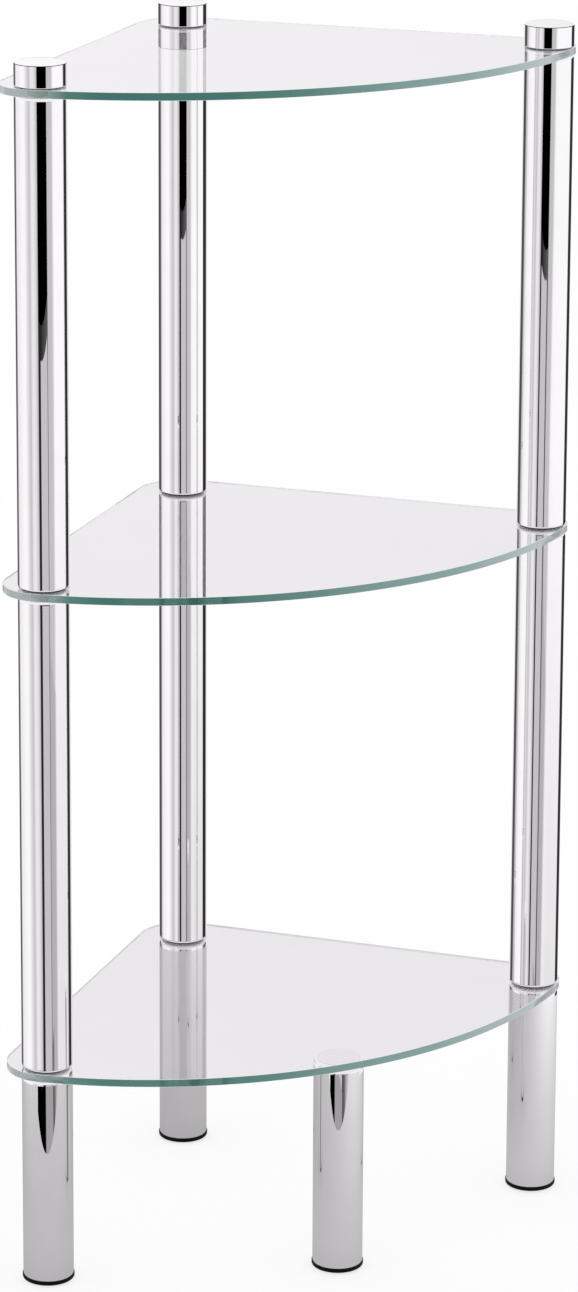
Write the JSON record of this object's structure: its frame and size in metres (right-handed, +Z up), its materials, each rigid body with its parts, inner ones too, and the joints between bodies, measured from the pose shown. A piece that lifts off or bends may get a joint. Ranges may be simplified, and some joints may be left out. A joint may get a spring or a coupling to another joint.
{
  "type": "corner shelf unit",
  "caption": "Free-standing corner shelf unit: quarter-round clear glass shelves clamped between chromed tube posts, with flat post caps, a bonded front leg and black floor glides.",
  "frame": {"origin": "on the floor, at the middle of the square footprint", "axes": "+Z up; one straight side of each shelf faces -X and the other faces +Y, so the room corner that the unit stands in is at -X +Y and the curved front faces +X -Y"},
  "size_m": [0.2928, 0.2928, 0.7809],
  "materials": {
    "glass": "clear float glass, ground and polished edge that looks teal",
    "chrome": "mirror-bright chrome plate on steel tube",
    "glide_plastic": "black moulded plastic",
    "washer_rubber": "dark grey sheet rubber",
    "washer_vinyl": "milky soft vinyl sheet",
    "zinc_steel": "zinc-plated turned steel",
    "adhesive_pad": "milky white adhesive pad"
  },
  "bodies": {
    "root": {"glass_shelf_top": "glass", "glass_shelf_middle": "glass", "glass_shelf_bottom": "glass", "upper_tube_left": "chrome", "upper_tube_back": "chrome", "upper_tube_right": "chrome", "lower_tube_left": "chrome", "lower_tube_back": "chrome", "lower_tube_right": "chrome", "leg_left": "chrome", "leg_back": "chrome", "leg_right": "chrome", "leg_front": "chrome", "top_cap_left": "chrome", "top_cap_back": "chrome", "top_cap_right": "chrome", "foot_glide_left": "glide_plastic", "foot_glide_back": "glide_plastic", "foot_glide_right": "glide_plastic", "foot_glide_front": "glide_plastic", "leg_insert_left": "zinc_steel", "leg_insert_back": "zinc_steel", "leg_insert_right": "zinc_steel", "lower_insert_left": "zinc_steel", "lower_insert_back": "zinc_steel", "lower_insert_right": "zinc_steel", "upper_insert_left": "zinc_steel", "upper_insert_back": "zinc_steel", "upper_insert_right": "zinc_steel", "lower_stud_plug_left": "zinc_steel", "lower_stud_plug_back": "zinc_steel", "lower_stud_plug_right": "zinc_steel", "upper_stud_plug_left": "zinc_steel", "upper_stud_plug_back": "zinc_steel", "upper_stud_plug_right": "zinc_steel", "cap_stud_left": "zinc_steel", "cap_stud_back": "zinc_steel", "cap_stud_right": "zinc_steel", "leg_plug_front": "zinc_steel", "bond_pad_front": "adhesive_pad", "washer_bottom_under_left": "washer_vinyl", "washer_bottom_under_back": "washer_vinyl", "washer_bottom_under_right": "washer_vinyl", "washer_bottom_over_left": "washer_rubber", "washer_bottom_over_back": "washer_rubber", "washer_bottom_over_right": "washer_rubber", "washer_middle_under_left": "washer_vinyl", "washer_middle_under_back": "washer_vinyl", "washer_middle_under_right": "washer_vinyl", "washer_middle_over_left": "washer_rubber", "washer_middle_over_back": "washer_rubber", "washer_middle_over_right": "washer_rubber", "washer_top_under_left": "washer_vinyl", "washer_top_under_back": "washer_vinyl", "washer_top_under_right": "washer_vinyl", "washer_top_over_left": "washer_rubber", "washer_top_over_back": "washer_rubber", "washer_top_over_right": "washer_rubber"}
  },
  "joints": []
}
